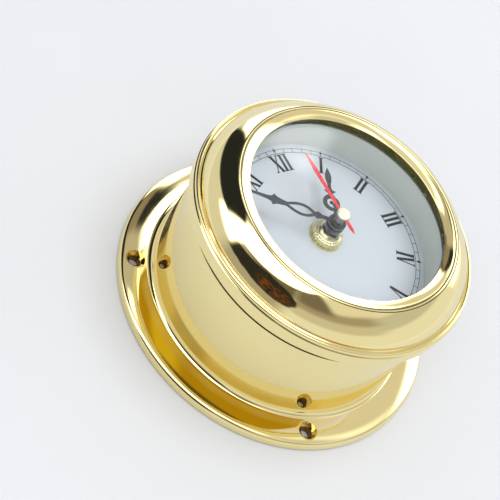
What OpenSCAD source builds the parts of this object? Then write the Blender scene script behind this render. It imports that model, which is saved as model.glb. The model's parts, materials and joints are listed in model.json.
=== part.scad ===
// Ships deck clock: a brass drum case on a screw-down flange, with a quartz movement behind the dial.
// The clock lies on the back of its flange. +Z runs along the arbor out of the dial and +Y points to XII.

/* [Case] */
// Outer diameter of the base flange
flange_d = 120; // [110:1:130]
// Thickness of the base flange
flange_t = 4.2; // [3.5:0.1:5]
// Outer diameter of the case drum
drum_d = 96.8; // [95:0.1:98]
// Wall of the case drum
drum_wall = 1.6; // [1.2:0.1:2]
// Height where the drum ends and the bezel skirt begins
skirt_z = 40.7; // [40:0.1:41]
// Pitch circle diameter of the screw holes
hole_pcd = 109; // [106:0.5:111]
// Diameter of each screw hole
hole_d = 4.2; // [3.5:0.1:4.5]
// Diameter of each countersink
sink_d = 6.8; // [6:0.1:7]
// Directions of the first two screw holes, the other two are opposite them
hole_dirs = [149.8, 250.5];

/* [Bezel] */
// Height of the top of the inner lip
lip_z = 60.9; // [60.7:0.1:61.1]
// Radius of the opening in the inner lip
lip_r = 36.4; // [36:0.1:37]
// Radius of the crest of the inner lip, from where it dips towards the opening
crest_r = 40.1; // [39.9:0.1:40.3]
// Radius of the groove between the lip and the broad moulding
groove_r = 41.2; // [41.1:0.1:41.4]
// Radius of the curve across the broad moulding
mould_arc = 19; // [14:1:30]
// Radius of the flared skirt
skirt_r = 52.3; // [52:0.1:52.6]

/* [Dial] */
// Height of the dial's printed face
dial_z = 40.9; // [40.5:0.1:41.1]
// Thickness of the dial plate
dial_t = 0.8; // [0.6:0.1:1]
// Thickness of the printed marks
print_t = 0.06; // [0.04:0.01:0.1]
// Radius of the inner ends of the numerals
numeral_r0 = 27.9; // [27:0.1:29]
// Radius of the outer ends of the numerals
numeral_r1 = 35; // [34:0.1:35.2]
// Radius of the minute track's inner circle
track_r0 = 35.5; // [35.4:0.1:36]
// Radius of the minute track's outer circle
track_r1 = 37.1; // [37:0.1:37.4]

/* [Hands] */
// Direction of the hour hand, clockwise from XII
hour_dir = 25.5; // [0:0.5:360]
// Direction of the minute hand, clockwise from XII
minute_dir = 306; // [0:1:360]
// Direction of the second hand, clockwise from XII
second_dir = 0; // [0:1:360]
// Length of the hour hand
hour_len = 24.2; // [23:0.1:25]
// Length of the minute hand
minute_len = 34.3; // [33:0.1:35]
// Length of the second hand
second_len = 26.8; // [26:0.1:28]

/* [Movement] */
// Width and height of the square movement case
move_w = 56; // [56:0.5:57]
// Diameter of the battery
cell_d = 14.5; // [14:0.1:14.5]
// Length of the battery with its nub
cell_l = 50.5; // [50:0.1:50.5]
// Diameter of the setting knob
knob_d = 9; // [8:0.5:10]

/* [Hidden] */
$fn = 96;
eps = 0.01;

// Radii and heights of the case
flange_r = flange_d / 2;
drum_r = drum_d / 2;
drum_in = drum_r - drum_wall;
neck_r = drum_r - 1.8;
neck_in = 44.2;
neck_top = 50.5;
rabbet_z = 1.6;
flange_in = 45;
fillet_r = 2;
edge_r = 1.7;
// Long crown that lets the flange's top fall away to its rounded edge
crown_start = 53;
crown_arc = 29;
crown_run = flange_d / 2 - edge_r - crown_start;
crown_drop = sqrt(pow(crown_arc - edge_r, 2) - pow(crown_run, 2));
crown_end = atan2(crown_drop, crown_run);

// Radii and heights of the bezel; the lip's dip steepens from its crest to its inner edge
lip_round = 0.35;
dip_start = 6;
dip_end = 22;
dip_arc = (crest_r - lip_r - lip_round * (1 - sin(dip_end))) / (sin(dip_end) - sin(dip_start));
dip_z = lip_z - dip_arc * cos(dip_start);
bead_r = 0.8;
glass_bore = 41.4;
glass_top = 58.6;
glass_t = 2;
gasket_t = 0.6;
ring_z0 = 53.8;
window_r = 38.5;
screw_clear = 0.35;

// Radii of the stacked arbors: each turns in the next with 0.05 to 0.07 of clearance
arbor_r = 0.5;
pipe_min_in = 0.56;
pipe_min_r = 1.7;
pipe_hour_in = 1.76;
pipe_hour_r = 2.55;
bush_in = 2.62;
bush_r = 4;

// Heights of the movement, from the dial backwards
cover_top = dial_z - dial_t - 1;
cover_t = 1.4;
cover_bot = cover_top - cover_t;
back_z = 22.6;
floor_z = back_z + 1.4;
move_corner = 1.6;
bay_y0 = -move_w / 2 + 0.8;
bay_y1 = -12;
cell_y = (bay_y0 + bay_y1) / 2;
cell_z = back_z + 0.2 + cell_d / 2;

// Gear teeth and modules: each pair is [first wheel, second wheel, module]
second_third = [8, 60, 0.18];
third_centre = [8, 64, second_third[2] * 34 / 36];
cannon_minute = [14, 42, 0.28];
minute_hour = [10, 40, cannon_minute[2] * 28 / 25];
inter_second = [8, 40, 0.27];
rotor_inter = [8, 48, 0.15];
minute_knob = [42, 20, cannon_minute[2]];

// Centre distance of a gear pair
function span(p) = p[2] * (p[0] + p[1]) / 2;
// Point at a distance and direction from another point
function at(p, d, a) = [p[0] + d * cos(a), p[1] + d * sin(a)];
// Turn of wheel B that meshes with wheel A across a line of centres in direction a
function meshed(a, na, turn_a, nb) = a + 180 - (turn_a - a) * na / nb - 180 / nb;

third_dir = 0;
minute_w_dir = 180;
inter_dir = 60;
rotor_dir = 45;
knob_dir = 135;
third_at = at([0, 0], span(second_third), third_dir);
minute_at = at([0, 0], span(cannon_minute), minute_w_dir);
inter_at = at([0, 0], span(inter_second), inter_dir);
rotor_at = at(inter_at, span(rotor_inter), rotor_dir);
knob_at = at(minute_at, span(minute_knob), knob_dir);
minute_turn = meshed(minute_w_dir, cannon_minute[0], 0, cannon_minute[1]);

// Heights of the train
plate_z = 32.2;
plate_t = 0.6;
pivot_r = 0.3;
coil_at = [0, 20.5, 29];
stator_z = 27.9;
stator_t = 0.7;

brass = "goldenrod";
steel = "silver";
black = "#26292c";

// Points of an arc about a centre
function arc(c, r, a0, a1, n = 12) = [for (i = [0 : n]) at(c, r, a0 + (a1 - a0) * i / n)];
// Points of an arc of radius r that curves from p round to q
function arc_between(p, q, r, n = 12) = let (d = q - p, l = norm(d),
  c = (p + q) / 2 + sqrt(r * r - l * l / 4) * [-d[1], d[0]] / l)
  arc(c, r, atan2(p[1] - c[1], p[0] - c[0]), atan2(q[1] - c[1], q[0] - c[0]), n);

// Ring with a rectangular section
module ring(r0, r1, z0, z1) {
  translate([0, 0, z0]) difference() {
    cylinder(r = r1, h = z1 - z0);
    translate([0, 0, -1]) cylinder(r = r0, h = z1 - z0 + 2);
  }
}

// Square plate with rounded corners
module rounded_plate(w, h, r) {
  linear_extrude(h) union() {
    square([w, w - 2 * r], center = true);
    square([w - 2 * r, w], center = true);
    for (sx = [-1, 1], sy = [-1, 1]) translate([sx * (w / 2 - r), sy * (w / 2 - r)]) circle(r = r);
  }
}

// Flat gear with tapered teeth, thin enough to run free in mesh
module gear(n, m, h, bore) {
  pitch = 360 / n;
  tip = m * (n / 2 + 0.65);
  root = m * (n / 2 - 1);
  linear_extrude(h) difference() {
    polygon([for (i = [0 : n - 1], k = [[root, -0.19], [tip, -0.07], [tip, 0.07], [root, 0.19]])
      at([0, 0], k[0], (i + k[1]) * pitch)]);
    circle(r = bore, $fn = 32);
  }
}

module pin(p, r, z0, z1) {
  translate([p[0], p[1], z0]) cylinder(r = r, h = z1 - z0, $fn = 32);
}

// Pivoted shaft between the back of the movement and the train plate
module pivoted(p, r) {
  pin(p, r, floor_z + 0.9, plate_z - 0.3);
  pin(p, pivot_r, floor_z + 0.3, plate_z + plate_t - 0.1);
}

// ---- Case ----

module base_flange() {
  outline = concat([[flange_in, 0]],
                   arc([flange_r - 0.8, 0.8], 0.8, -90, 0, 4),
                   arc([flange_r - edge_r, flange_t - crown_arc + crown_drop], edge_r, 0, crown_end, 8),
                   [for (i = [1 : 6]) at([crown_start, flange_t - crown_arc], crown_arc,
                                         crown_end + (90 - crown_end) * i / 6)],
                   // Hollow fillet where the flange meets the drum
                   arc([drum_r + fillet_r, flange_t + fillet_r], fillet_r, 270, 190, 8),
                   [[drum_r, flange_t + fillet_r - 0.3], [drum_r, rabbet_z], [drum_in, rabbet_z],
                    [drum_in, flange_t], [flange_in, flange_t]]);
  color(brass) difference() {
    rotate_extrude() polygon(outline);
    for (a = hole_dirs, b = [0, 180]) rotate(a + b) translate([hole_pcd / 2, 0, 0]) {
      translate([0, 0, -1]) cylinder(d = hole_d, h = flange_t + 2);
      translate([0, 0, flange_t - (sink_d - hole_d) / 2])
        cylinder(d1 = hole_d, d2 = sink_d + 0.2, h = (sink_d - hole_d) / 2 + 0.1);
    }
  }
}

module case_drum() {
  color(brass) rotate_extrude() difference() {
    polygon([[drum_in, rabbet_z], [drum_r, rabbet_z], [drum_r, skirt_z - 0.4], [neck_r, skirt_z - 0.4],
             [neck_r, neck_top], [neck_in, neck_top], [neck_in, 37.2], [drum_in, 36]]);
    // Thread on the neck, as plain grooves
    for (z = [42.4 : 1.4 : 49.6]) translate([neck_r + 0.2, z]) rotate(45) square(0.8, center = true);
  }
}

module dial_seat_ring() {
  color(brass) difference() {
    ring(41, neck_in, dial_z - dial_t - 1.8, dial_z - dial_t);
    dial_screw_places() pin([0, 0], 0.8, dial_z - 4, dial_z);
  }
}

module bezel() {
  bead = [skirt_r - 0.3 - bead_r, 50.8];
  outline = concat(
    [[neck_r + screw_clear, skirt_z], [drum_r + 0.1, skirt_z]],
    // Skirt: straight at the drum, hollow curve out to a plain band
    arc([skirt_r, 41.6], skirt_r - drum_r - 0.1, 180, 100, 8),
    [[skirt_r, 45.9], [skirt_r, 49.8], [skirt_r - 0.45, 50.1]],
    arc(bead, bead_r, -35, 150, 10),
    [[50.2, 51], [49.7, 51.2]],
    arc([49.1, 52], 0.6, -20, 28, 3),
    arc_between([49.6, 52.3], [groove_r + 0.15, lip_z - 0.1], mould_arc),
    // Two fine grooves, then the dished lip
    [[groove_r, lip_z - 0.4], [groove_r - 0.15, lip_z - 0.05], [crest_r + 0.3, lip_z],
     [crest_r + 0.2, lip_z - 0.15], [crest_r + 0.1, lip_z]],
    arc([crest_r + dip_arc * sin(dip_start), dip_z], dip_arc, 90 + dip_start, 90 + dip_end, 6),
    arc([lip_r + lip_round, dip_z + (dip_arc - lip_round) * cos(dip_end)], lip_round, 100 + dip_end, 180, 5),
    [[lip_r, glass_top], [glass_bore, glass_top], [glass_bore, ring_z0 - 0.2], [44.6, ring_z0 - 0.2],
     [44.6, neck_top + 0.5], [neck_r + screw_clear, neck_top + 0.5]]);
  color(brass) rotate_extrude() difference() {
    polygon(outline);
    for (z = [43.1 : 1.4 : 49.6]) translate([neck_r + screw_clear, z]) rotate(45) square(0.6, center = true);
  }
}

module glass() {
  color("lightblue", 0.3) translate([0, 0, glass_top - glass_t]) cylinder(r = glass_bore - 0.2, h = glass_t);
}

module glass_gasket() {
  color(black) ring(window_r + 0.3, glass_bore - 0.1, glass_top - glass_t - gasket_t, glass_top - glass_t);
}

module glass_retaining_ring() {
  color(brass) difference() {
    ring(window_r, glass_bore, ring_z0, glass_top - glass_t - gasket_t);
    // Two key slots on its back face
    for (a = [0, 180]) rotate(a) translate([40, 0, ring_z0]) cube([4, 1.6, 2.4], center = true);
  }
}

// ---- Dial ----

module dial_screw_places() {
  for (a = [30, 150, 270]) rotate(a) translate([42.4, 0, 0]) children();
}

module dial_plate() {
  color("#e4e9ef") difference() {
    translate([0, 0, dial_z - dial_t]) cylinder(r = neck_in - 0.2, h = dial_t);
    pin([0, 0], bush_r + 0.05, 0, 60);
    dial_screw_places() {
      pin([0, 0], 0.85, dial_z - 4, dial_z);
      translate([0, 0, dial_z - 0.7]) cylinder(r1 = 0.85, r2 = 1.65, h = 0.8, $fn = 32);
    }
  }
}

module dial_screws() {
  color(steel) dial_screw_places() difference() {
    union() {
      pin([0, 0], 0.8, dial_z - dial_t - 2.4, dial_z - 0.5);
      translate([0, 0, dial_z - 0.65]) cylinder(r1 = 0.8, r2 = 1.4, h = 0.6, $fn = 32);
    }
    translate([0, 0, dial_z]) cube([3, 0.4, 0.5], center = true);
  }
}

// Spacer between the dial and the bezel, slightly wider at the dial
module spacer_ring() {
  color("#c4cac6") rotate_extrude() polygon([[window_r + 0.7, dial_z], [neck_in - 0.6, dial_z],
    [neck_in - 0.6, ring_z0 - 0.5], [window_r, ring_z0 - 0.5]]);
}

// Strokes of the numerals: upright, leaning thick and leaning thin
num_h = numeral_r1 - numeral_r0;
thick = 1.05;
thin = 0.4;
serif_t = 0.36;
serif_w = 0.75;
advance_i = 1.95;
advance_v = 3.3;
advance_x = 3.7;

function bar(x0, x1, w) = [[x0 - w / 2, 0], [x0 + w / 2, 0], [x1 + w / 2, num_h], [x1 - w / 2, num_h]];

module serif(x, w, top) {
  translate([x - w / 2, top ? num_h - serif_t : 0]) square([w, serif_t]);
}

module stroke_i() {
  polygon(bar(0, 0, thick));
  serif(0, thick + serif_w, true);
  serif(0, thick + serif_w, false);
}

module stroke_v() {
  lean = (advance_v - thick) / 2;
  polygon(bar(0, -lean, thick));
  polygon(bar(0.15, lean + 0.2, thin));
  serif(-lean, thick + serif_w, true);
  serif(lean + 0.2, thin + serif_w, true);
}

module stroke_x() {
  lean = (advance_x - thick) / 2;
  polygon(bar(lean, -lean, thick));
  polygon(bar(-lean, lean, thin));
  for (s = [-1, 1], top = [true, false])
    serif(s * lean, ((s > 0) == top ? thin : thick) + serif_w, top);
}

function glyph_w(g) = g == "I" ? advance_i : g == "V" ? advance_v : advance_x;
function width_before(word, k) = k == 0 ? 0 : width_before(word, k - 1) + glyph_w(word[k - 1]);

module numeral(word) {
  total = width_before(word, len(word));
  for (k = [0 : len(word) - 1]) translate([width_before(word, k) + glyph_w(word[k]) / 2 - total / 2, 0]) {
    if (word[k] == "I") stroke_i();
    if (word[k] == "V") stroke_v();
    if (word[k] == "X") stroke_x();
  }
}

words = ["I", "II", "III", "IV", "V", "VI", "VII", "VIII", "IX", "X", "XI", "XII"];

module dial_numerals() {
  color("black") for (h = [1 : 12]) rotate(-30 * h)
    translate([0, numeral_r0, dial_z]) linear_extrude(print_t) numeral(words[h - 1]);
}

module minute_track() {
  line = 0.16;
  color("black") translate([0, 0, dial_z]) linear_extrude(print_t) {
    for (r = [track_r0, track_r1]) difference() {
      circle(r = r + line / 2);
      circle(r = r - line / 2);
    }
    for (i = [0 : 59]) rotate(6 * i) translate([-line / 2, track_r0]) square([line, track_r1 - track_r0]);
    for (i = [0 : 11]) rotate(30 * i) translate([0, track_r1 - 0.3])
      polygon([[-0.5, 0], [0, -0.9], [0.5, 0], [0, 1.1]]);
  }
}

// ---- Hands ----

// Outline of a line of varying width through a list of [x, y, half width]
function side(p, i) = let (a = p[max(i - 1, 0)], b = p[min(i + 1, len(p) - 1)],
  d = [b[0] - a[0], b[1] - a[1]], l = norm(d)) [-d[1] / l, d[0] / l];
module ribbon(p) {
  n = len(p) - 1;
  polygon(concat([for (i = [0 : n]) [p[i][0], p[i][1]] + side(p, i) * p[i][2]],
                 [for (i = [n : -1 : 0]) [p[i][0], p[i][1]] - side(p, i) * p[i][2]]));
}

hour_z = 48.1;
minute_z = 49.7;
blade_t = 0.4;
hub_r = 3.35;
second_z = 54;
second_t = 0.3;

// Serpentine hour hand: scroll, small barbs and a leaf
module hour_shape() {
  scroll_y = 9;
  scroll_r = 2.65;
  ribbon([[0.6, 2.4, 0.9], [0.75, 4.2, 0.85], [1.15, 5.6, 0.8]]);
  ribbon([for (a = [-62 : -14 : -300]) [scroll_r * cos(a), scroll_y + scroll_r * sin(a) + 0.1,
                                        0.62 - 0.18 * sin(a / 2 + 30)]]);
  ribbon([for (a = [-80 : 14 : 70]) [scroll_r * cos(a), scroll_y + scroll_r * sin(a), 0.42]]);
  // Inner hook that ends in a ball
  ribbon([[1.1, 5.4, 0.7], [1.35, 6.6, 0.62], [1.15, 7.8, 0.5], [0.5, 8.7, 0.4], [-0.1, 9.2, 0.35]]);
  translate([-0.2, 9.25]) circle(r = 0.62, $fn = 24);
  polygon([[-0.7, 11.2], [-0.75, 12.6], [-1.1, 13.4], [-2.2, 14.2], [-1.2, 14.4], [-0.55, 15.2],
           [-0.62, 17.2], [-1.15, 19.6], [-1.05, 21.4], [-0.4, 23.2], [0, hour_len],
           [0.4, 23.2], [1.05, 21.4], [1.15, 19.6], [0.62, 17.2], [0.55, 15.2], [1.2, 14.4],
           [2.2, 14.2], [1.1, 13.4], [0.75, 12.6], [0.7, 11.2]]);
}

// Open-loop minute hand with a barbed cross and a straight point
module minute_shape() {
  loop_w = 2.05;
  loop_y0 = 8.4;
  loop_y1 = 19.2;
  for (s = [-1, 1]) ribbon([for (i = [0 : 12]) let (u = i / 12)
    [s * (0.15 + (loop_w - 0.15) * sin(180 * pow(u, 0.85))), loop_y0 + (loop_y1 - loop_y0) * u, 0.45]]);
  polygon([[-0.8, 2.6], [-0.7, 5.6], [-1.5, 7.4], [-0.6, 8.6],
           [0.6, 8.6], [1.5, 7.4], [0.7, 5.6], [0.8, 2.6]]);
  polygon([[-0.7, 18.8], [-1.1, 21], [-1.45, 22.6], [-2.3, 23.9], [-1.1, 24.6], [-0.72, 26],
           [-0.3, minute_len - 0.4], [0, minute_len], [0.3, minute_len - 0.4],
           [0.72, 26], [1.1, 24.6], [2.3, 23.9], [1.45, 22.6], [1.1, 21], [0.7, 18.8]]);
}

module hour_hand() {
  color(black) rotate(-hour_dir) {
    ring(pipe_hour_r, hub_r - 0.1, 46.4, hour_z + blade_t);
    translate([0, 0, hour_z]) linear_extrude(blade_t) difference() {
      union() {
        circle(r = hub_r);
        hour_shape();
      }
      circle(r = pipe_hour_r);
    }
  }
}

module minute_hand() {
  color(black) rotate(-minute_dir) {
    ring(pipe_min_r, hub_r - 0.2, hour_z + blade_t + 0.5, minute_z + blade_t);
    translate([0, 0, minute_z]) linear_extrude(blade_t) difference() {
      union() {
        circle(r = hub_r - 0.1);
        minute_shape();
      }
      circle(r = pipe_min_r);
    }
  }
}

module second_hand() {
  tail = 7.9;
  color("crimson") rotate(-second_dir) translate([0, 0, second_z]) difference() {
    union() {
      cylinder(r = 1.9, h = second_t);
      linear_extrude(second_t) polygon([[-0.5, 0], [-0.75, 19.6], [-0.55, 22.6], [0, second_len],
        [0.55, 22.6], [0.75, 19.6], [0.5, 0], [0.6, -5.8], [0, -tail], [-0.6, -5.8]]);
    }
    translate([0, 0, -1]) cylinder(r = 1, h = 3);
  }
}

module second_boss() {
  color("khaki") difference() {
    union() {
      pin([0, 0], 1.65, 51, second_z);
      pin([0, 0], 1, second_z - eps, second_z + second_t + eps);
      rotate_extrude() polygon([[0, second_z + second_t], [2.4, second_z + second_t],
                                [2.5, second_z + second_t + 0.15], [2.5, second_z + second_t + 0.5],
                                [2.2, second_z + second_t + 0.75], [0, second_z + second_t + 0.85]]);
    }
    pin([0, 0], arbor_r, 50, second_z - 0.4);
  }
}

// ---- Nut, washers and bushing ----

module bushing() {
  color(brass) rotate_extrude() difference() {
    union() {
      translate([bush_in, 36.9]) square([bush_r - bush_in, 9.1]);
      translate([bush_in, 36.9]) square([2.8, 0.75]);
    }
    for (z = [44.5 : 0.75 : 45.8]) translate([bush_r + 0.1, z]) rotate(45) square(0.42, center = true);
  }
}

module bushing_nut() {
  nut_r = 5.55;
  color(brass) difference() {
    union() {
      ring(bush_r, nut_r, dial_z + 0.6, dial_z + 2.6);
      ring(bush_r, nut_r - 0.7, dial_z + 2.5, dial_z + 3.2);
    }
    // Knurl
    for (i = [0 : 23]) rotate(15 * i) pin([nut_r + 0.12, 0], 0.34, dial_z, dial_z + 5);
  }
}

module nut_washer() {
  color(brass) ring(bush_r + 0.1, 6.3, dial_z, dial_z + 0.6);
}

module rubber_washer() {
  color("black") ring(bush_r + 0.2, 9.5, cover_top, dial_z - dial_t);
}

// ---- Movement case ----

module movement_cover() {
  color(black) difference() {
    translate([0, 0, cover_bot]) rounded_plate(move_w, cover_t, move_corner);
    pin([0, 0], bush_r, 0, 60);
  }
}

module movement_back() {
  half = move_w / 2;
  inner = half - 1.5;
  color(black) difference() {
    union() {
      difference() {
        translate([0, 0, back_z]) rounded_plate(move_w, cover_bot - back_z, move_corner);
        // Train chamber
        translate([-inner, bay_y1 + 1, floor_z]) cube([2 * inner, inner - bay_y1 - 1, 20]);
      }
      // Pivot bosses
      for (p = [[0, 0], third_at, inter_at, rotor_at]) pin(p, 1.1, floor_z - eps, floor_z + 0.7);
      // Raised ring around the setting knob
      translate([knob_at[0], knob_at[1], 0]) ring(6, 6.8, back_z - 0.5, back_z + eps);
    }
    // Battery bay, open to the back
    translate([-half + 0.8, bay_y0, back_z - 1]) cube([move_w - 1.6, bay_y1 - bay_y0, 30]);
    // Finger notch in the bay's outer wall
    translate([-8, -half - 1, back_z - 1]) cube([16, 3, 6]);
    for (p = [[0, 0], third_at, inter_at, rotor_at]) pin(p, pivot_r + 0.05, floor_z + 0.2, 40);
    pin(knob_at, 1.6, 0, 40);
  }
}

module train_plate() {
  outline = [[-21, -10.4], [14.3, -10.4], [14.3, 4], [9, 11.6], [1, 11.6], [-8, 8], [-14, 13], [-21, 13]];
  color("dimgray") difference() {
    union() {
      translate([0, 0, plate_z]) linear_extrude(plate_t) polygon(outline);
      for (p = [[12.4, -8.6], [-19, -8.6], [-19, 11]]) pin(p, 1.4, floor_z, plate_z + eps);
      pin(minute_at, 0.75, plate_z, 36.3);
    }
    pin([0, 0], 2.4, 30, 40);
    for (p = [third_at, inter_at, rotor_at]) pin(p, pivot_r + 0.05, 30, 40);
    pin(knob_at, 1.6, 30, 40);
  }
}

// ---- Motion work ----

module hour_wheel() {
  color("ivory") {
    translate([0, 0, 35]) gear(minute_hour[1], minute_hour[2], 0.7, pipe_hour_in);
    ring(pipe_hour_in, pipe_hour_r, 35.6, hour_z + blade_t);
  }
}

module minute_pipe() {
  color(brass) {
    ring(pipe_min_in, pipe_min_r, 30, 50.5);
    ring(pipe_min_in, 2.6, 30, 30.6);
    translate([0, 0, 33.1]) gear(cannon_minute[0], cannon_minute[2], 1.2, pipe_min_in);
  }
}

module minute_wheel() {
  color("ivory") translate([minute_at[0], minute_at[1], 0]) {
    translate([0, 0, 33.3]) rotate(minute_turn) gear(cannon_minute[1], cannon_minute[2], 0.6, 0.8);
    translate([0, 0, 33.8]) rotate(meshed(minute_w_dir, minute_hour[1], 0, minute_hour[0]))
      gear(minute_hour[0], minute_hour[2], 2.1, 0.8);
  }
}

module setting_knob() {
  grip_r = knob_d / 2;
  color("whitesmoke") translate([knob_at[0], knob_at[1], 0]) {
    difference() {
      union() {
        ring(0, grip_r, 18.6, 21.9);
        pin([0, 0], 1.5, 21.8, 34);
        translate([0, 0, 33.3]) rotate(meshed(knob_dir, minute_knob[0], minute_turn, minute_knob[1]))
          gear(minute_knob[1], minute_knob[2], 0.6, 0.5);
      }
      for (i = [0 : 15]) rotate(22.5 * i) pin([grip_r + 0.2, 0], 0.55, 18, 22);
      translate([0, 0, 18.5]) pin([0, 0], 2.6, 0, 0.6);
    }
  }
}

// ---- Going train ----

module centre_wheel() {
  color(brass) translate([0, 0, 30.8]) gear(third_centre[1], third_centre[2], 0.6, pipe_min_r + 0.05);
}

module second_arbor() {
  color("ivory") {
    pin([0, 0], arbor_r, floor_z + 0.9, second_z - 0.4);
    pin([0, 0], pivot_r, floor_z + 0.3, floor_z + 1);
    translate([0, 0, 27]) gear(inter_second[1], inter_second[2], 0.6, 0.3);
    translate([0, 0, 28.7]) gear(second_third[0], second_third[2], 1.1, 0.3);
  }
}

module third_wheel() {
  color("ivory") {
    pivoted(third_at, 0.4);
    translate([third_at[0], third_at[1], 0]) {
      translate([0, 0, 29]) rotate(meshed(third_dir, second_third[0], 0, second_third[1]))
        gear(second_third[1], second_third[2], 0.5, 0.3);
      translate([0, 0, 30.5]) rotate(meshed(third_dir, third_centre[1], 0, third_centre[0]))
        gear(third_centre[0], third_centre[2], 1.2, 0.3);
    }
  }
}

module intermediate_wheel() {
  color("ivory") {
    pivoted(inter_at, 0.32);
    translate([inter_at[0], inter_at[1], 0]) {
      translate([0, 0, 25.3]) gear(rotor_inter[1], rotor_inter[2], 0.5, 0.3);
      translate([0, 0, 26.7]) rotate(meshed(inter_dir, inter_second[1], 0, inter_second[0]))
        gear(inter_second[0], inter_second[2], 1, 0.3);
    }
  }
}

module rotor() {
  color("darkslategray") {
    pivoted(rotor_at, 0.32);
    pin(rotor_at, 2.4, 26.4, 28.6);
    translate([rotor_at[0], rotor_at[1], 25]) rotate(meshed(rotor_dir, rotor_inter[1], 0, rotor_inter[0]))
      gear(rotor_inter[0], rotor_inter[2], 1, 0.3);
  }
}

// ---- Motor and electrics ----

// Two pole pieces on either side of the rotor
module stator() {
  x = rotor_at[0];
  y = rotor_at[1];
  left = [[-16, 22], [-12, 22], [-12, 16.2], [-4, y + 4.4], [x - 0.4, y + 4.4], [x - 0.4, y - 4.4],
          [-2, y - 3.6], [-10, 13], [-16, 17.5]];
  right = [[16, 22], [12, 22], [12, 16.2], [x + 5, y + 4.4], [x + 0.4, y + 4.4], [x + 0.4, y - 4.4],
           [x + 4.4, y - 4.4], [14, 11], [16, 15]];
  color(steel) difference() {
    translate([0, 0, stator_z]) linear_extrude(stator_t) {
      polygon(left);
      polygon(right);
    }
    pin(rotor_at, 2.9, 20, 40);
    pin(inter_at, 0.9, 20, 40);
  }
}

module coil_core() {
  color("gray") translate([-15, coil_at[1] - 1.2, stator_z + stator_t]) cube([30, 2.4, 0.8]);
}

// Tube along X about the coil's axis
module along_coil(r0, r1, x0, x1) {
  translate([0, coil_at[1], coil_at[2]]) rotate([0, 90, 0]) ring(r0, r1, x0, x1);
}

module coil_bobbin() {
  color("ivory") difference() {
    union() {
      along_coil(0, 2.2, -9.5, 9.5);
      for (x = [-10, 9.2]) along_coil(0, 4.2, x, x + 0.8);
    }
    translate([-15, coil_at[1] - 1.25, stator_z + stator_t - 0.05]) cube([30, 2.5, 0.9]);
  }
}

module coil_winding() {
  color("#b5651d") along_coil(2.2, 3.8, -9.2, 9.2);
}

module circuit_board() {
  color("darkgreen") translate([15, -10, 25]) cube([10.6, 22, 1]);
  color("black") pin([20, 4], 2.4, 26, 26.8);
}

module quartz_crystal() {
  color(steel) translate([23.4, -7, 27.1]) rotate([-90, 0, 0]) cylinder(r = 1, h = 6, $fn = 32);
}

module contact_positive() {
  color(steel) {
    translate([26.7, bay_y0 + 2, back_z + 1.5]) cube([0.45, 11, 12.5]);
    translate([cell_l / 2 + 0.3, cell_y, cell_z]) rotate([0, 90, 0]) cylinder(r = 1.6, h = 1.2, $fn = 32);
  }
}

module contact_negative() {
  color(steel) {
    translate([-27.15, bay_y0 + 2, back_z + 1.5]) cube([0.45, 11, 12.5]);
    // Bent leaf that presses on the battery
    translate([0, cell_y, cell_z - 2.5]) linear_extrude(5)
      polygon([[-26.75, -5], [-cell_l / 2 - 0.35, 0], [-26.75, 5], [-26.75, 4.3], [-cell_l / 2 - 0.85, 0],
               [-26.75, -4.3]]);
  }
}

module battery() {
  nub_l = 1.3;
  color("darkorange") translate([-cell_l / 2, cell_y, cell_z]) rotate([0, 90, 0]) {
    cylinder(d = cell_d, h = cell_l - nub_l);
    cylinder(r = 2.75, h = cell_l, $fn = 32);
  }
}

base_flange();
case_drum();
dial_seat_ring();
dial_plate();
dial_numerals();
minute_track();
dial_screws();
spacer_ring();
bezel();
glass();
glass_gasket();
glass_retaining_ring();
bushing();
bushing_nut();
nut_washer();
rubber_washer();
movement_cover();
movement_back();
train_plate();
hour_wheel();
hour_hand();
minute_pipe();
minute_hand();
centre_wheel();
minute_wheel();
second_arbor();
second_hand();
second_boss();
third_wheel();
intermediate_wheel();
rotor();
stator();
coil_core();
coil_bobbin();
coil_winding();
circuit_board();
quartz_crystal();
contact_positive();
contact_negative();
battery();
setting_knob();
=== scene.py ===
"""Ships deck clock on a pale table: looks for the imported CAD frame.

Metres in Blender, millimetres in the outlines below. +Z runs out of the dial and +Y points to XII.
"""
import json
import math

import bmesh
import bpy
from mathutils import Matrix, Quaternion, Vector


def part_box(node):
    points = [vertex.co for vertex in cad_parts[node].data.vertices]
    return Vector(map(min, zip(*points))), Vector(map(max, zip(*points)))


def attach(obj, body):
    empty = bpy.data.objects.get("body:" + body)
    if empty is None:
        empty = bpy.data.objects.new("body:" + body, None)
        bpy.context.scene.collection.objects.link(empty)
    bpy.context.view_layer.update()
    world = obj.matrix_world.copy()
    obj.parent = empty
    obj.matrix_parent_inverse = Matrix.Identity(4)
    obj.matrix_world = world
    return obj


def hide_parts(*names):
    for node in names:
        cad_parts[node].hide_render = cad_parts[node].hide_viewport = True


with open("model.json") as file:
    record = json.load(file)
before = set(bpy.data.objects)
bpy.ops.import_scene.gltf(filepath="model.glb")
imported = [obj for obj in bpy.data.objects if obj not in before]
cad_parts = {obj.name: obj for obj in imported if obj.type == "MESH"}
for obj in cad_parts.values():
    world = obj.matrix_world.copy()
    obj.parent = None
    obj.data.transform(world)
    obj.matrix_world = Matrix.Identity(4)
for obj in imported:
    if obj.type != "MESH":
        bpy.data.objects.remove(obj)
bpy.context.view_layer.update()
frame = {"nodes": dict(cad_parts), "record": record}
nodes = frame["nodes"]

MM = 0.001
# Edges sharper than these stay sharp in the shading
SMOOTH_ANGLE = math.radians(32)
KNURL_ANGLE = math.radians(50)

# Screw holes of the flange
hole_r = 2.1
sink_r = 3.4
hole_ring = 54.5
hole_dirs = (149.8, 250.5, 329.8, 70.5)


# ---------------------------------------------------------------- meshes

def arc(centre, radius, start, end, steps=16):
    """Points of a circular arc, angles in degrees."""
    turns = [math.radians(start + (end - start) * i / steps) for i in range(steps + 1)]
    return [(centre[0] + radius * math.cos(t), centre[1] + radius * math.sin(t)) for t in turns]


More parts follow.
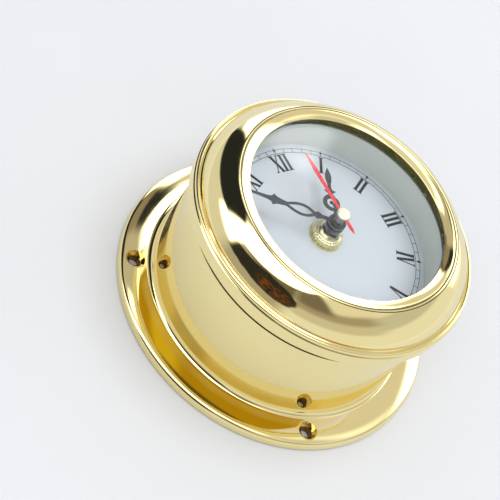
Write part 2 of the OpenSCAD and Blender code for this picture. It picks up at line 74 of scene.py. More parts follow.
def arc_between(start, end, radius, steps=16):
    """Points of an arc that curves from start round to end, bulging to the right of the way."""
    dx, dy = end[0] - start[0], end[1] - start[1]
    chord = math.hypot(dx, dy)
    reach = math.sqrt(radius * radius - chord * chord / 4) / chord
    centre = ((start[0] + end[0]) / 2 - dy * reach, (start[1] + end[1]) / 2 + dx * reach)
    first, last = (math.degrees(math.atan2(p[1] - centre[1], p[0] - centre[0])) for p in (start, end))
    return arc(centre, radius, first, last, steps)


def clean_mesh(name, bm):
    """Makes a mesh in metres from a bmesh in millimetres, welded and with its normals outward."""
    bmesh.ops.remove_doubles(bm, verts=bm.verts, dist=1e-4)
    bmesh.ops.recalc_face_normals(bm, faces=bm.faces)
    bm.transform(Matrix.Scale(MM, 4))
    mesh = bpy.data.meshes.new(name)
    bm.to_mesh(mesh)
    bm.free()
    return mesh


def shade(obj, sharp_from):
    """Smooths the shading between sharp edges, with flat faces kept flat beside their rounded edges."""
    obj.data.shade_smooth()
    obj.data.set_sharp_from_angle(angle=sharp_from)
    even = obj.modifiers.new("even_normals", "WEIGHTED_NORMAL")
    even.keep_sharp = True


def piece(name, bm, body, slot, node, sharp_from=SMOOTH_ANGLE):
    """Turns a bmesh in millimetres into a piece that rides on a body and stands for a CAD node."""
    obj = bpy.data.objects.new(name, clean_mesh(name, bm))
    bpy.context.scene.collection.objects.link(obj)
    obj.data.materials.append(materials[slot])
    shade(obj, sharp_from)
    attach(obj, body)
    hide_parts(node)
    return obj


def revolve(outline, steps=288, radius_at=None):
    """Solid of revolution about Z from a closed outline of (radius, height) points.

    radius_at(r, angle) may vary a point's radius round the axis, as a knurl does."""
    bm = bmesh.new()
    loops = []
    for k in range(steps):
        angle = 2 * math.pi * k / steps
        loop = []
        for r, z in outline:
            reach = radius_at(r, angle) if radius_at else r
            loop.append(bm.verts.new((reach * math.cos(angle), reach * math.sin(angle), z)))
        loops.append(loop)
    for k in range(steps):
        here, there = loops[k], loops[(k + 1) % steps]
        for i in range(len(outline)):
            j = (i + 1) % len(outline)
            bm.faces.new([here[i], there[i], there[j], here[j]])
    return bm


def softened(node, width):
    """A CAD node's mesh with its sharp edges broken by a small bevel, as stamping or moulding does."""
    bm = bmesh.new()
    bm.from_mesh(nodes[node].data)
    bm.transform(Matrix.Scale(1 / MM, 4))
    bmesh.ops.remove_doubles(bm, verts=bm.verts, dist=1e-3)
    bmesh.ops.dissolve_limit(bm, angle_limit=math.radians(0.5), verts=bm.verts, edges=bm.edges)
    edges = [e for e in bm.edges if len(e.link_faces) == 2 and e.calc_face_angle(0) > math.radians(40)]
    bmesh.ops.bevel(bm, geom=edges, offset=width, offset_type="OFFSET", segments=2, profile=0.6,
                    affect="EDGES", clamp_overlap=True)
    return bm


# ---------------------------------------------------------------- node trees

def rgb(r, g, b):
    return (r, g, b, 1.0)


class Graph:
    """Adds nodes to a tree, setting or linking their inputs."""

    def __init__(self, tree):
        self.tree = tree

    def feed(self, socket, value):
        """Links an input to another node's output, or sets it to a constant."""
        if isinstance(value, bpy.types.NodeSocket):
            self.tree.links.new(value, socket)
        else:
            socket.default_value = value

    def add(self, kind, inputs=(), **settings):
        node = self.tree.nodes.new("ShaderNode" + kind)
        for key, value in settings.items():
            setattr(node, key, value)
        for key, value in dict(inputs).items():
            self.feed(node.inputs[key], value)
        return node

    def math(self, operation, a, b=0.0):
        return self.add("Math", {0: a, 1: b}, operation=operation).outputs[0]

    def step(self, value, low, high):
        """0 below low, 1 above high and smooth between them; high may be the lower one."""
        return self.add("MapRange", {"Value": value, "From Min": low, "From Max": high},
                        interpolation_type="SMOOTHSTEP").outputs["Result"]

    def mix(self, factor, a, b):
        """Colour a where the factor is 0 and b where it is 1; sockets 6, 7 and 2 are a colour mix's own."""
        node = self.add("Mix", data_type="RGBA")
        for key, value in ((0, factor), (6, a), (7, b)):
            self.feed(node.inputs[key], value)
        return node.outputs[2]

    def square(self, value):
        return self.math("MULTIPLY", value, value)


class Shader(Graph):
    """One material, built round its Principled node."""

    def __init__(self, name, **sockets):
        self.material = bpy.data.materials.new(name)
        self.material.use_nodes = True
        super().__init__(self.material.node_tree)
        self.surface = self.tree.nodes["Principled BSDF"]
        for key, value in sockets.items():
            self.put(key.replace("_", " "), value)
        self.place = self.add("TexCoord").outputs["Object"]
        self.x, self.y, self.z = self.add("SeparateXYZ", {0: self.place}).outputs

    def put(self, socket, value):
        self.feed(self.surface.inputs[socket], value)

    def radius(self):
        """Distance from the Z axis."""
        return self.math("SQRT", self.math("ADD", self.square(self.x), self.square(self.y)))

    def within(self, inner, outer, lowest, highest):
        """1 in a ring about Z given in millimetres, 0 elsewhere."""
        radius = self.radius()
        across = self.math("MULTIPLY", self.math("GREATER_THAN", radius, inner * MM),
                           self.math("LESS_THAN", radius, outer * MM))
        along = self.math("MULTIPLY", self.math("GREATER_THAN", self.z, lowest * MM),
                          self.math("LESS_THAN", self.z, highest * MM))
        return self.math("MULTIPLY", across, along)

    def near_holes(self, direction, reach):
        """1 in the flange within reach mm of the axes of two opposite screw holes."""
        c, s = math.cos(math.radians(direction)), math.sin(math.radians(direction))
        along = self.math("ADD", self.math("MULTIPLY", self.x, c), self.math("MULTIPLY", self.y, s))
        across = self.math("SUBTRACT", self.math("MULTIPLY", self.y, c), self.math("MULTIPLY", self.x, s))
        along = self.math("SUBTRACT", self.math("ABSOLUTE", along), hole_ring * MM)
        apart = self.math("ADD", self.square(along), self.square(across))
        near = self.math("LESS_THAN", apart, (reach * MM) ** 2)
        return self.math("MULTIPLY", near, self.math("LESS_THAN", self.z, 5 * MM))

    def turned(self):
        """Coordinates squeezed round the axis, so that a noise in them makes turning marks."""
        angle = self.math("MULTIPLY", self.math("ARCTAN2", self.y, self.x), 0.004)
        return self.add("CombineXYZ", {0: self.radius(), 1: angle, 2: self.z}).outputs[0]

    def noise(self, scale, detail=3.0, vector=None, roughness=0.5):
        return self.add("TexNoise", {"Vector": vector or self.place, "Scale": scale, "Detail": detail,
                                     "Roughness": roughness}).outputs["Fac"]

    def bump(self, *layers):
        """Adds (height, distance in mm) layers of relief."""
        normal = None
        for height, distance in layers:
            inputs = {"Height": height, "Distance": distance * MM, "Strength": 1.0}
            if normal:
                inputs["Normal"] = normal
            normal = self.add("Bump", inputs).outputs[0]
        self.put("Normal", normal)

    def spread(self, value, low, high):
        """Maps a noise's middle range onto low to high."""
        return self.add("MapRange", {"Value": value, "From Min": 0.3, "From Max": 0.7,
                                     "To Min": low, "To Max": high}).outputs["Result"]

    def mottled(self, scale, detail, first, second):
        """Patches of two colours that run into each other."""
        return self.mix(self.spread(self.noise(scale, detail), 0.0, 1.0), first, second)


# ---------------------------------------------------------------- materials

PIT_BROWN = rgb(0.30, 0.20, 0.08)
# Painted shade in the flange's screw holes: the countersinks and the bores
SINK_SHADE = rgb(0.62, 0.42, 0.09)
BORE_SHADE = rgb(0.20, 0.11, 0.02)


def polished_metal(name, bright, deep, dark_rings, dark, gloss=(0.03, 0.07), marks=0.0006, wave=0.006,
                   shaded_holes=False):
    """Turned and buffed metal: faint turning marks, a slow waviness, fingermarks and fine tarnish.

    dark_rings: (inner radius, outer radius, lowest, highest) in mm of places that have the dark colour:
    painted shade in the brass, the steel's own grey on the second hand's tube.
    marks, wave: height in mm of the turning marks and of the waviness.
    The last argument, when true, paints shade into the screw holes, brown in the countersinks and darker in
    the bores."""
    s = Shader(name, Metallic=1.0)
    lines = s.noise(5200.0, 2.0, s.turned())
    smudge = s.noise(90.0, 5.0, roughness=0.62)
    tarnish = s.noise(38.0, 4.0)
    pits = s.step(s.noise(1500.0, 2.0), 0.70, 0.78)
    colour = s.mix(s.spread(tarnish, 0.0, 0.55), bright, deep)
    colour = s.mix(s.math("MULTIPLY", pits, 0.25), colour, PIT_BROWN)
    # The dark rings: painted shade in the brass, the steel's own grey on the second hand's tube
    for ring in dark_rings:
        colour = s.mix(s.within(*ring), colour, dark)
    # Painted shade in the screw holes of the flange
    if shaded_holes:
        for direction in hole_dirs[:2]:
            colour = s.mix(s.near_holes(direction, sink_r + 0.1), colour, SINK_SHADE)
            colour = s.mix(s.near_holes(direction, hole_r + 0.05), colour, BORE_SHADE)
    s.put("Base Color", colour)
    s.put("Roughness", s.math("ADD", s.spread(smudge, *gloss), s.math("MULTIPLY", lines, 0.02)))
    s.bump((s.noise(55.0, 1.0), wave), (lines, marks))
    return s.material


def painted(name, colour, shade_colour, rough, grain, grain_mm, coat):
    """Paint or moulded plastic: mottled tone, uneven gloss and a fine grain."""
    s = Shader(name, Coat_Weight=coat, Coat_Roughness=0.08)
    s.put("Base Color", s.mottled(120.0, 4.0, colour, shade_colour))
    s.put("Roughness", s.spread(s.noise(300.0, 3.0), rough - 0.05, rough + 0.05))
    s.bump((s.noise(grain, 3.0), grain_mm))
    return s.material


def brushed(name, bright, deep, rough, stretch):
    """Rolled or ground metal, its grain finer along the axes that are stretched."""
    s = Shader(name, Metallic=1.0)
    long_way = s.add("Mapping", {"Vector": s.place, "Scale": stretch}).outputs[0]
    grain = s.noise(400.0, 3.0, long_way)
    s.put("Base Color", s.mix(s.spread(grain, 0.0, 1.0), bright, deep))
    s.put("Roughness", s.spread(s.noise(200.0, 4.0), rough - 0.06, rough + 0.1))
    s.bump((grain, 0.004))
    return s.material


def clear_glass():
    """Window glass that lets lamplight through."""
    s = Shader("clear_glass", Roughness=0.0, IOR=1.5, Transmission_Weight=1.0, Specular_IOR_Level=0.3)
    s.put("Base Color", rgb(0.97, 0.99, 0.985))
    smears = s.step(s.noise(70.0, 4.0), 0.55, 0.8)
    s.put("Roughness", s.math("MULTIPLY", smears, 0.012))
    lamps = s.add("LightPath").outputs["Is Shadow Ray"]
    through = s.add("BsdfTransparent", {"Color": rgb(0.95, 0.97, 0.965)}).outputs[0]
    mixed = s.add("MixShader", {0: lamps, 1: s.surface.outputs[0], 2: through})
    s.feed(s.tree.nodes["Material Output"].inputs["Surface"], mixed.outputs[0])
    return s.material


def wound_copper():
    """Enamelled wire: tight turns along the coil."""
    wire_d = 0.22
    s = Shader("coil_copper", Metallic=1.0, Coat_Weight=0.6, Coat_Roughness=0.1)
    turns = s.math("SINE", s.math("MULTIPLY", s.x, 2 * math.pi / (wire_d * MM)))
    s.put("Base Color", s.mottled(600.0, 3.0, rgb(0.62, 0.24, 0.10), rgb(0.42, 0.13, 0.05)))
    s.put("Roughness", s.spread(s.noise(500.0), 0.25, 0.4))
    s.bump((s.math("MULTIPLY_ADD", turns, 0.5), 0.05))
    return s.material


def circuit_green():
    """Solder mask over rows of raised copper tracks."""
    s = Shader("board_green", Coat_Weight=0.5, Coat_Roughness=0.12)
    cells = s.add("TexBrick", {"Vector": s.place, "Scale": 220.0, "Mortar Size": 0.06, "Brick Width": 0.9,
                               "Row Height": 0.35}).outputs["Fac"]
    base = s.mottled(200.0, 3.0, rgb(0.03, 0.20, 0.08), rgb(0.02, 0.14, 0.06))
    s.put("Base Color", s.mix(cells, base, rgb(0.07, 0.32, 0.12)))
    s.put("Roughness", s.spread(s.noise(700.0), 0.3, 0.45))
    s.bump((cells, 0.03))
    return s.material


def battery_sleeve():
    """Printed shrink sleeve: a bronze band and stripe at the positive end over a dark body."""
    s = Shader("battery_wrap", Metallic=0.55, Coat_Weight=0.8, Coat_Roughness=0.06)
    band = s.step(s.x, 0.0110, 0.0112)
    stripe = s.math("MULTIPLY", s.step(s.x, 0.0092, 0.0093), s.step(s.x, 0.0101, 0.0100))
    dark = s.mottled(150.0, 3.0, rgb(0.030, 0.032, 0.036), rgb(0.045, 0.047, 0.052))
    bronze = s.mottled(150.0, 3.0, rgb(0.78, 0.42, 0.13), rgb(0.66, 0.33, 0.10))
    s.put("Base Color", s.mix(s.math("MAXIMUM", band, stripe), dark, bronze))
    s.put("Roughness", s.spread(s.noise(260.0, 4.0), 0.22, 0.36))
    s.bump((s.noise(350.0), 0.01))
    return s.material


# Paints and plastics: colour, its shade, roughness, scale and height in mm of the grain, clear coat
PAINTS = (
    ("dial_white", rgb(0.65, 0.675, 0.73), rgb(0.625, 0.655, 0.715), 0.42, 2600.0, 0.002, 0.0),
    ("print_black", rgb(0.006, 0.006, 0.008), rgb(0.010, 0.010, 0.012), 0.6, 5000.0, 0.002, 0.0),
    ("spacer_grey", rgb(0.76, 0.79, 0.74), rgb(0.72, 0.755, 0.71), 0.45, 1500.0, 0.012, 0.0),
    ("hand_black", rgb(0.030, 0.035, 0.042), rgb(0.045, 0.052, 0.062), 0.30, 2500.0, 0.003, 1.0),
    ("second_red", rgb(0.95, 0.055, 0.075), rgb(0.90, 0.045, 0.065), 0.28, 2500.0, 0.004, 0.5),
    ("rubber_black", rgb(0.018, 0.018, 0.018), rgb(0.030, 0.029, 0.028), 0.75, 1800.0, 0.03, 0.0),
    ("case_black", rgb(0.022, 0.022, 0.024), rgb(0.034, 0.034, 0.037), 0.48, 1700.0, 0.035, 0.0),
    ("train_plastic", rgb(0.82, 0.79, 0.68), rgb(0.76, 0.72, 0.60), 0.34, 900.0, 0.008, 0.2),
    ("plate_grey", rgb(0.085, 0.09, 0.10), rgb(0.11, 0.115, 0.125), 0.45, 1400.0, 0.02, 0.0),
    ("knob_white", rgb(0.80, 0.80, 0.77), rgb(0.74, 0.74, 0.70), 0.32, 1100.0, 0.008, 0.2),
)

materials = {row[0]: painted(*row) for row in PAINTS}
materials.update({
    # Painted shade: a dark colour in the bezel's two grooves, on the drum's shoulder and on the lip's inner
    # wall, and brown in the screw holes
    "polished_brass": polished_metal("polished_brass", rgb(0.91, 0.80, 0.42), rgb(0.89, 0.755, 0.355),
                                     ((41.05, 41.35, 60.3, 60.86), (40.15, 40.4, 60.0, 60.87),
                                      (47.8, 48.55, 40.05, 41.0), (36.0, 36.6, 58.0, 59.85)),
                                     rgb(0.10, 0.08, 0.03), shaded_holes=True),
    # Painted shade: the retaining ring under the glass, deep under the lip, is coloured nearly black
    "movement_brass": polished_metal("movement_brass", rgb(0.88, 0.83, 0.56), rgb(0.80, 0.74, 0.44),
                                     ((38.0, 41.5, 53.0, 56.5),), rgb(0.085, 0.08, 0.025),
                                     gloss=(0.16, 0.30), marks=0.004),
    # The tube below the second hand's cap is plain steel
    "boss_gold": polished_metal("boss_gold", rgb(0.96, 0.92, 0.74), rgb(0.93, 0.87, 0.66),
                                ((0.0, 1.8, 50.9, 54.0),), rgb(0.40, 0.38, 0.40),
                                gloss=(0.34, 0.42), wave=0.004),
    "clear_glass": clear_glass(),
    "steel": brushed("steel", rgb(0.66, 0.67, 0.69), rgb(0.50, 0.51, 0.53), 0.28, (40.0, 1.0, 1.0)),
    "magnet_grey": brushed("magnet_grey", rgb(0.20, 0.205, 0.215), rgb(0.13, 0.135, 0.14), 0.5,
                           (1.0, 1.0, 1.0)),
    "coil_copper": wound_copper(),
    "board_green": circuit_green(),
    "battery_wrap": battery_sleeve(),
})

for part in frame["record"]["subparts"]:
    shown = nodes[part["node"]]
    shown.data.materials.clear()
    shown.data.materials.append(materials[part["material_slot"]])


# ---------------------------------------------------------------- case

flange_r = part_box("base_flange")[1].x / MM
flange_t = 4.2
flange_in = 45.0
drum_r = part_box("case_drum")[1].x / MM
drum_in = drum_r - 1.6
rabbet_z = 1.6
back_round = 0.8
edge_r = 1.7
crown_start = 53.0
crown_arc = 29.0
fillet_r = 2.0


def hole_cutter(direction):
    """Cutter for one countersunk screw hole, with a worn edge."""
    top = flange_t
    worn = 0.29
    outline = [(0, -1), (hole_r, -1), (hole_r, top - (sink_r - hole_r)), (sink_r - 0.12, top - 0.12)]
    outline += arc((sink_r + 0.17, top - worn), worn, 135, 90, 4)
    outline += [(sink_r + 0.6, top), (sink_r + 0.6, top + 1), (0, top + 1)]
    turn = math.radians(direction)
    bm = revolve(outline, 64)
    bm.transform(Matrix.Translation((hole_ring * math.cos(turn), hole_ring * math.sin(turn), 0)))
    cutter = bpy.data.objects.new("hole_cutter", clean_mesh("hole_cutter", bm))
    cutter.data.materials.append(materials["polished_brass"])
    bpy.context.scene.collection.objects.link(cutter)
    return cutter


def cut(obj, cutters):
    """Cuts the cutters out of an object for good and removes them."""
    obj.modifiers.clear()
    for cutter in cutters:
        hole = obj.modifiers.new("hole", "BOOLEAN")
        hole.operation = "DIFFERENCE"
        hole.solver = "EXACT"
        hole.object = cutter
    graph = bpy.context.evaluated_depsgraph_get()
    mesh = bpy.data.meshes.new_from_object(obj.evaluated_get(graph))
    obj.modifiers.clear()
    obj.data = mesh
    shade(obj, SMOOTH_ANGLE)
    for cutter in cutters:
        bpy.data.objects.remove(cutter)


def flange():
    """Flange whose top falls away in a long crown to the rounded edge, with a hollow fillet at the drum."""
    outline = [(flange_in, 0), (50, 0), (57, 0)]
    outline += arc((flange_r - back_round, back_round), back_round, -90, 0, 8)
    run = flange_r - edge_r - crown_start
    drop = math.sqrt((crown_arc - edge_r) ** 2 - run ** 2)
    tilt = math.degrees(math.atan2(drop, run))
    outline += arc((flange_r - edge_r, flange_t - crown_arc + drop), edge_r, 0, tilt, 20)
    outline += arc((crown_start, flange_t - crown_arc), crown_arc, tilt, 90, 16)[1:]
    outline += [(51, flange_t)]
    outline += arc((drum_r + fillet_r, flange_t + fillet_r), fillet_r, 270, 183, 24)
    seat_r, seat_z = drum_r - 0.2, rabbet_z + 0.1
    outline += [(seat_r, flange_t + fillet_r), (seat_r, seat_z), (drum_in, seat_z),
                (drum_in, flange_t), (flange_in, flange_t)]
    obj = piece("flange_brass", revolve(outline, 360), "case", "polished_brass", "base_flange")
    cut(obj, [hole_cutter(direction) for direction in hole_dirs])


flange()

skirt_z = 40.7
neck_r = drum_r - 1.8
neck_in = 44.2
neck_top = 50.5


def drum():
    """Plain tube with a shoulder under the bezel's skirt and a threaded neck."""
    outline = [(drum_in, rabbet_z)] + [(drum_r, z) for z in (rabbet_z, 7, 20, 35, 39.8)]
    outline += arc((drum_r - 0.3, skirt_z - 0.7), 0.3, 0, 90, 5)
    outline += [(neck_r, skirt_z - 0.4)]
    pitch = 1.4
    depth = 0.35
    for k in range(6):
        crest = 41.7 + pitch * k
        outline += [(neck_r, crest), (neck_r - depth, crest + pitch / 2)]
    outline += [(neck_r, neck_top - 0.3), (neck_r - 0.3, neck_top), (neck_in, neck_top), (neck_in, 37.2),
                (drum_in, 36)]
    piece("drum_brass", revolve(outline), "case", "polished_brass", "case_drum")


drum()

lip_r = 36.4
lip_z = 60.9
lip_round = 0.35
crest_r = 40.1
groove_r = 41.2
# Slope of the lip in degrees at its crest and at its inner edge
dip_start = 6
dip_end = 22
skirt_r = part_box("bezel")[1].x / MM
bead_r = 0.8
mould_arc = 19
glass_bore = 41.4
glass_top = 58.6
glass_back = 56.6
ring_z0 = 53.8


def lip():
    """Outline of the lip, which dips towards the opening, steeper and steeper."""
    first, last = math.radians(dip_start), math.radians(dip_end)
    reach = (crest_r - lip_r - lip_round * (1 - math.sin(last))) / (math.sin(last) - math.sin(first))
    deep = lip_z - reach * math.cos(first)
    edge = (lip_r + lip_round, deep + (reach - lip_round) * math.cos(last))
    dish = arc((crest_r + reach * math.sin(first), deep), reach, 90 + dip_start, 90 + dip_end, 20)
    return dish + arc(edge, lip_round, 90 + dip_end, 180, 12)[1:]


def bezel():
    """Screwed bezel: flared skirt, plain band, bead, broad moulding, two fine grooves and a dished lip."""
    throat = drum_r + 0.1
    foot = neck_r + 0.35
    inner_r = 44.6
    outline = [(foot, skirt_z), (throat, skirt_z)]
    outline += arc((skirt_r, 41.6), skirt_r - throat, 180, 100, 24)
    outline += [(skirt_r - 0.06, 45.75), (skirt_r, 45.9), (skirt_r, 49.7)]
    outline += arc((skirt_r - 0.2, 49.85), 0.2, 0, 60, 4)
    outline += arc((skirt_r - 0.3 - bead_r, 50.8), bead_r, -35, 150, 20)
    outline += [(50.2, 51.0), (49.7, 51.2)]
    outline += arc((49.1, 52), 0.6, -20, 28, 6)
    outline += arc_between((49.6, 52.3), (groove_r + 0.15, lip_z - 0.1), mould_arc, 56)
    outline += [(groove_r + 0.06, lip_z - 0.38), (groove_r - 0.06, lip_z - 0.38),
                (groove_r - 0.15, lip_z - 0.08), (groove_r - 0.2, lip_z - 0.03), (groove_r - 0.5, lip_z),
                (crest_r + 0.32, lip_z), (crest_r + 0.24, lip_z - 0.12), (crest_r + 0.16, lip_z - 0.12),
                (crest_r + 0.08, lip_z)]
    outline += lip()
    outline += [(lip_r, glass_top + 0.3), (lip_r, glass_top), (glass_bore, glass_top),
                (glass_bore, ring_z0 - 0.2), (inner_r, ring_z0 - 0.2), (inner_r, neck_top + 0.5),
                (foot, neck_top + 0.5)]
    piece("bezel_brass", revolve(outline, 360), "bezel_unit", "polished_brass", "bezel")


def glass():
    """Pane with its rim ground off."""
    r = glass_bore - 0.2
    z0, z1 = glass_back, glass_top
    rim = [(r - 0.2, z0), (r, z0 + 0.2), (r, z1 - 0.2), (r - 0.2, z1)]
    outline = [(0, z0), (20, z0)] + rim + [(20, z1), (0, z1)]
    piece("glass_pane", revolve(outline, 160), "bezel_unit", "clear_glass", "glass")


bezel()
glass()


# ---------------------------------------------------------------- hands and centre

HAND_EDGE = 0.07
piece("hour_hand_black", softened("hour_hand", HAND_EDGE), "hour_unit", "hand_black", "hour_hand")
piece("minute_hand_black", softened("minute_hand", HAND_EDGE), "minute_unit", "hand_black", "minute_hand")
piece("second_hand_red", softened("second_hand", 0.05), "second_unit", "second_red", "second_hand")

cap_z = 54.3
bush_r = 4.0
bush_in = 2.62
dial_z = 40.9
nut_r = 5.55


def boss():
    """Tube of the second hand, with a rounded cap over the hand."""
    tube_r = 1.65
    outline = [(0, 51), (tube_r - 0.2, 51), (tube_r, 51.2), (tube_r, 53.9), (tube_r, 54), (1, 54),
               (1, cap_z), (2.3, cap_z)]
    outline += arc((2.3, cap_z + 0.2), 0.2, -90, 0, 5)
    outline += arc((2.1, cap_z + 0.38), 0.4, 5, 75, 8)
    outline += [(1.4, cap_z + 0.81), (0.7, cap_z + 0.84), (0, cap_z + 0.85)]
    piece("boss_cap_gold", revolve(outline, 96), "second_unit", "boss_gold", "second_boss")


def bushing():
    """Threaded tube, its thread cut as close rings above the nut."""
    foot_r = 5.42
    outline = [(bush_in, 36.9), (foot_r, 36.9), (foot_r, 37.65), (bush_r, 37.65), (bush_r, 44.2)]
    pitch = 0.5
    for k in range(3):
        root = 44.35 + pitch * k
        outline += [(bush_r - 0.26, root), (bush_r, root + pitch / 2)]
    outline += [(bush_r - 0.3, 46), (bush_in + 0.15, 46), (bush_in, 45.85)]
    piece("bushing_threaded", revolve(outline, 128), "case", "movement_brass", "bushing")


def knurled(r, angle):
    """Radius of the nut's coarse knurl, which only its outer wall has."""
    ridges = 24
    if r < nut_r - 0.3:
        return r
    wave = 0.5 - 0.5 * math.cos(ridges * angle)
    return r - 0.26 * wave ** 1.6


def nut():
    """Round knurled nut with a plain shoulder."""
    z0 = dial_z + 0.6
    outline = [(bush_r, z0), (nut_r - 0.25, z0), (nut_r, z0 + 0.25), (nut_r, z0 + 1), (nut_r, z0 + 1.75),
               (nut_r - 0.25, z0 + 2), (nut_r - 0.7, z0 + 2.02), (nut_r - 0.7, z0 + 2.45),
               (nut_r - 0.85, z0 + 2.6), (bush_r, z0 + 2.6)]
    bm = revolve(outline, 288, knurled)
    piece("nut_knurled", bm, "case", "movement_brass", "bushing_nut", KNURL_ANGLE)


boss()
bushing()
nut()


# ---------------------------------------------------------------- movement and battery

piece("movement_case_black", softened("movement_back", 0.25), "case", "case_black", "movement_back")
piece("movement_front_black", softened("movement_cover", 0.25), "case", "case_black", "movement_cover")
piece("contact_positive_steel", softened("contact_positive", 0.06), "case", "steel", "contact_positive")
piece("contact_negative_steel", softened("contact_negative", 0.06), "case", "steel", "contact_negative")
piece("train_plate_grey", softened("train_plate", 0.1), "case", "plate_grey", "train_plate")
piece("setting_knob_white", softened("setting_knob", 0.08), "knob_unit", "knob_white", "setting_knob")


def battery():
    """AA cell lying along X: sleeve with rolled ends, sunk steel ends and the positive nub."""
    low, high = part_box("battery")
    middle = (low + high) / 2
    r = (high.z - low.z) / 2 / MM
    length = (high.x - low.x) / MM
    nub = 1.4
    top = length - nub
    outline = [(0, 0.25), (r - 2.2, 0.25), (r - 1.9, 0.1), (r - 0.7, 0)]
    outline += arc((r - 0.5, 0.5), 0.5, -90, 0, 6)
    outline += arc((r - 0.5, top - 0.5), 0.5, 0, 90, 6)
    outline += [(r - 1.0, top), (r - 1.2, top - 0.3), (3.2, top - 0.3), (2.9, top - 0.1)]
    outline += arc((2.3, length - 0.4), 0.4, 0, 90, 5)
    outline += [(0, length)]
    bm = revolve(outline, 96)
    bm.transform(Matrix.Rotation(math.pi / 2, 4, "Y"))
    bm.transform(Matrix.Translation((low.x / MM, middle.y / MM, middle.z / MM)))
    obj = piece("battery_cell", bm, "battery_unit", "battery_wrap", "battery")
    obj.data.materials.append(materials["steel"])
    for face in obj.data.polygons:
        if math.hypot(face.center.y - middle.y, face.center.z - middle.z) < (r - 0.95) * MM:
            face.material_index = 1


battery()


# ---------------------------------------------------------------- table

# Distance of the lamps from the clock, in metres
LAMP_REACH = 0.9


def table():
    """Matt white table top that fills the view."""
    s = Shader("table_white", Roughness=0.55)
    s.put("Base Color", s.mottled(9.0, 5.0, rgb(0.86, 0.87, 0.89), rgb(0.83, 0.84, 0.865)))
    s.bump((s.noise(700.0, 3.0), 0.05))
    # The lamps light only the middle of the table, so the rest glows by as much as they leave out
    away = s.square(s.math("DIVIDE", s.radius(), LAMP_REACH))
    lit = s.math("POWER", s.math("ADD", away, 1.0), -2.0)
    s.put("Emission Strength", s.math("MULTIPLY", s.math("SUBTRACT", 1.0, lit), 0.4))
    s.put("Emission Color", rgb(0.97, 0.98, 1.0))
    bm = bmesh.new()
    bmesh.ops.create_circle(bm, cap_ends=True, segments=96, radius=4.0)
    mesh = bpy.data.meshes.new("table_top")
    bm.to_mesh(mesh)
    bm.free()
    mesh.materials.append(s.material)
    top = bpy.data.objects.new("table_top", mesh)
    top.location.z = -0.0002
    bpy.context.scene.collection.objects.link(top)


table()


# ---------------------------------------------------------------- room that the brass mirrors

def grey(level, warmth=0.0):
    """A grey level, turned towards orange by its warmth."""
    return rgb(level, level * (1 - 0.5 * warmth), level * (1 - warmth))


WHITE = grey(2.6)


class Room(Graph):
    """World painted patch over patch. Bearings and heights are in degrees, as seen from the clock."""

    def __init__(self, tree, colour):
        super().__init__(tree)
        self.colour = colour
        x, y, z = self.add("SeparateXYZ", {0: self.add("TexCoord").outputs["Generated"]}).outputs
        degrees = 180 / math.pi
        bearing = self.math("MULTIPLY", self.math("ARCTAN2", y, x), degrees)
        self.bearing = self.counted_from(-90.0, bearing)
        # Bearing counted on through the side behind the camera
        self.turn = self.counted_from(20.0, self.bearing)
        self.height = self.math("MULTIPLY", self.math("ARCSINE", z), degrees)

    def counted_from(self, start, bearing):
        """The same bearing, with a full turn added where it is less than start."""
        before = self.math("LESS_THAN", bearing, start)
        return self.math("ADD", bearing, self.math("MULTIPLY", before, 360.0))

    def both(self, *masks):
        result = masks[0]
        for mask in masks[1:]:
            result = self.math("MULTIPLY", result, mask)
        return result

    def either(self, a, b):
        return self.math("MAXIMUM", a, b)

    def between(self, value, low, high, soft):
        return self.both(self.step(value, low - soft, low + soft),
                         self.step(value, high + soft, high - soft))

    def over(self, start, end, soft=1.5):
        """1 above the line through two (bearing, height) points and 0 below it."""
        slope = (end[1] - start[1]) / (end[0] - start[0])
        line = self.add("Math", {0: self.bearing, 1: slope, 2: start[1] - slope * start[0]},
                        operation="MULTIPLY_ADD").outputs[0]
        return self.step(self.math("SUBTRACT", self.height, line), -soft, soft)

    def under(self, start, end, soft=1.5):
        return self.math("SUBTRACT", 1.0, self.over(start, end, soft))

    def noise(self, scale, detail):
        return self.add("TexNoise", {"Scale": scale, "Detail": detail}).outputs["Fac"]

    def paint(self, colour, *masks):
        """Paints where all the masks are 1."""
        self.colour = self.mix(self.both(*masks), self.colour, colour)

    def patch(self, colour, bearings, heights, soft):
        """Paints between two bearings and two heights; soft is the half width of the edges of each."""
        self.paint(colour, self.between(self.bearing, *bearings, soft[0]),
                   self.between(self.height, *heights, soft[1]))


def paint_far_side(room):
    """Wide levels of the lit room, the bright backdrop that the lip mirrors and the wall above it."""
    bearing, height = room.bearing, room.height
    room.paint(grey(1.7), room.between(bearing, -6.0, 56.0, 10.0))
    room.paint(grey(0.76), room.between(bearing, 66.0, 158.0, 8.0))
    room.paint(grey(0.46, 0.1), room.between(bearing, 156.0, 214.0, 8.0))
    right = room.step(bearing, 2.0, -12.0)
    room.paint(grey(0.62), right, room.between(height, 24.0, 46.0, 3.0))
    room.paint(grey(0.68), right, room.between(height, 56.0, 68.0, 3.0))
    room.patch(WHITE, (-12.0, 35.0), (6.0, 42.5), (3.0, 2.0))
    room.patch(WHITE, (34.0, 54.0), (6.0, 21.0), (3.0, 4.0))
    room.paint(grey(0.76, 0.1), room.between(bearing, -2.0, 46.0, 6.0), room.step(height, 42.0, 44.5))
    room.patch(grey(0.78, 0.1), (34.5, 46.0), (25.0, 44.5), (2.0, 3.0))
    # A small dark picture on it, with a bright spot
    room.patch(grey(0.30), (19.5, 33.2), (36.0, 46.6), (0.6, 0.5))
    room.patch(grey(2.4), (29.6, 32.4), (41.2, 43.2), (0.5, 0.4))


